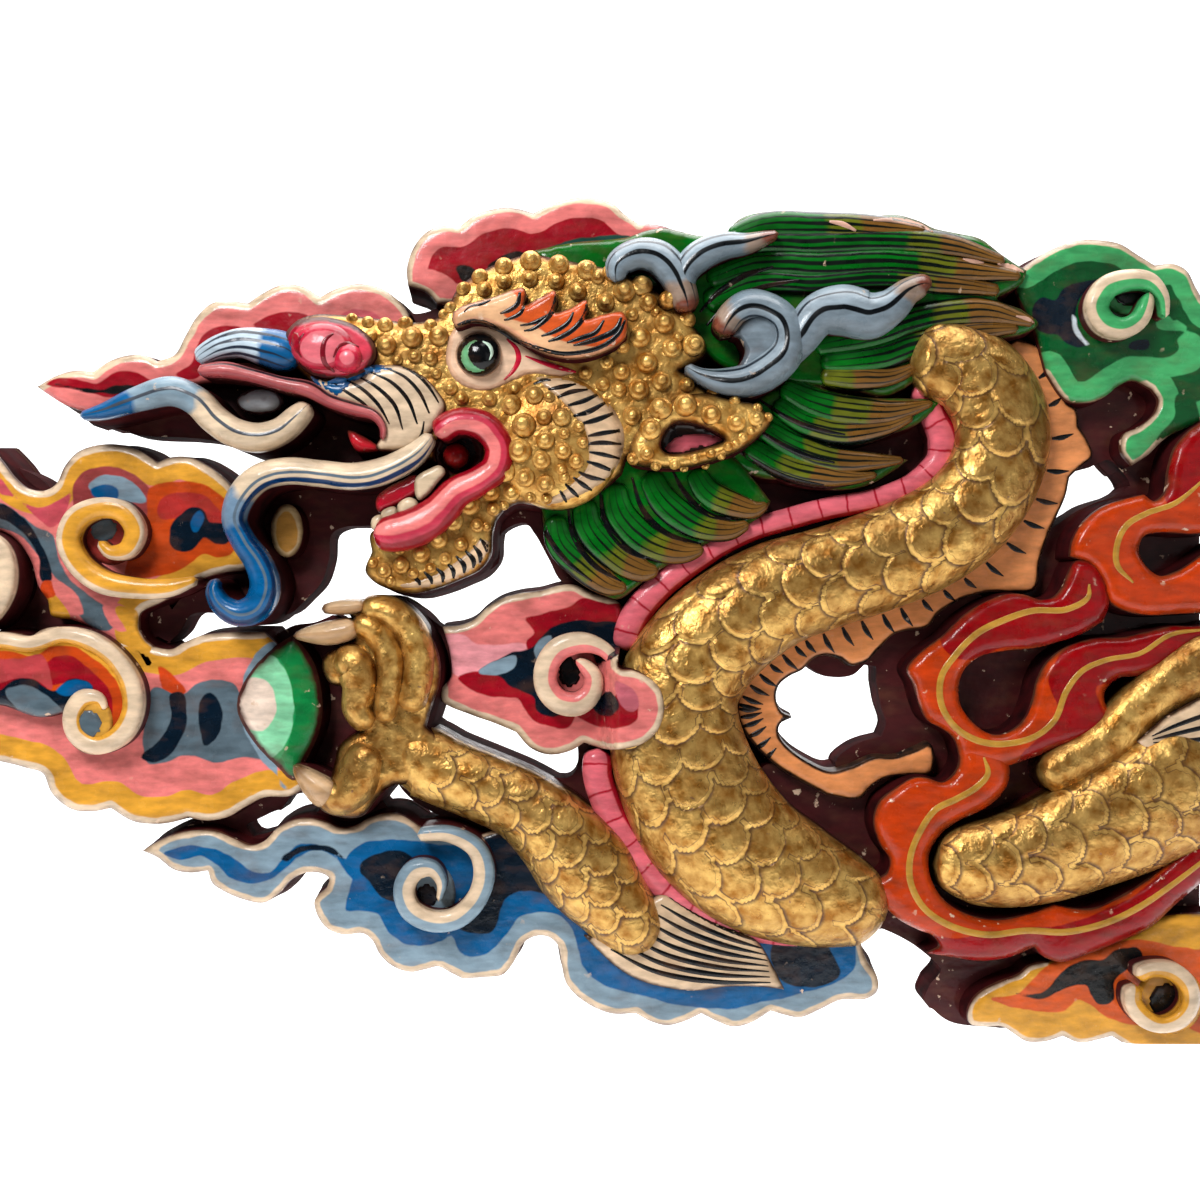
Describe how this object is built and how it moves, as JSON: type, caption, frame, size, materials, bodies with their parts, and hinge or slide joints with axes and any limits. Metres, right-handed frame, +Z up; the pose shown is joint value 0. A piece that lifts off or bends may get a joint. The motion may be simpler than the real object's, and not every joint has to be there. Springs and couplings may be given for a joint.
{
  "type": "carved wood relief panel",
  "caption": "Pierced carved wood relief of a horned dragon holding a pearl among curling clouds and flames, painted and gilded, flat at the back.",
  "frame": {"origin": "on the flat back, at the middle of the panel's length and of the view", "axes": "+X along the panel, from the dragon's snout towards its body; +Z up; the carving faces -Y"},
  "size_m": [0.94, 0.1, 0.652],
  "materials": {
    "painted_wood": "gloss paint and gold paint, brown in the recesses"
  },
  "bodies": {
    "root": {"dragon_relief": "painted_wood"}
  },
  "joints": []
}
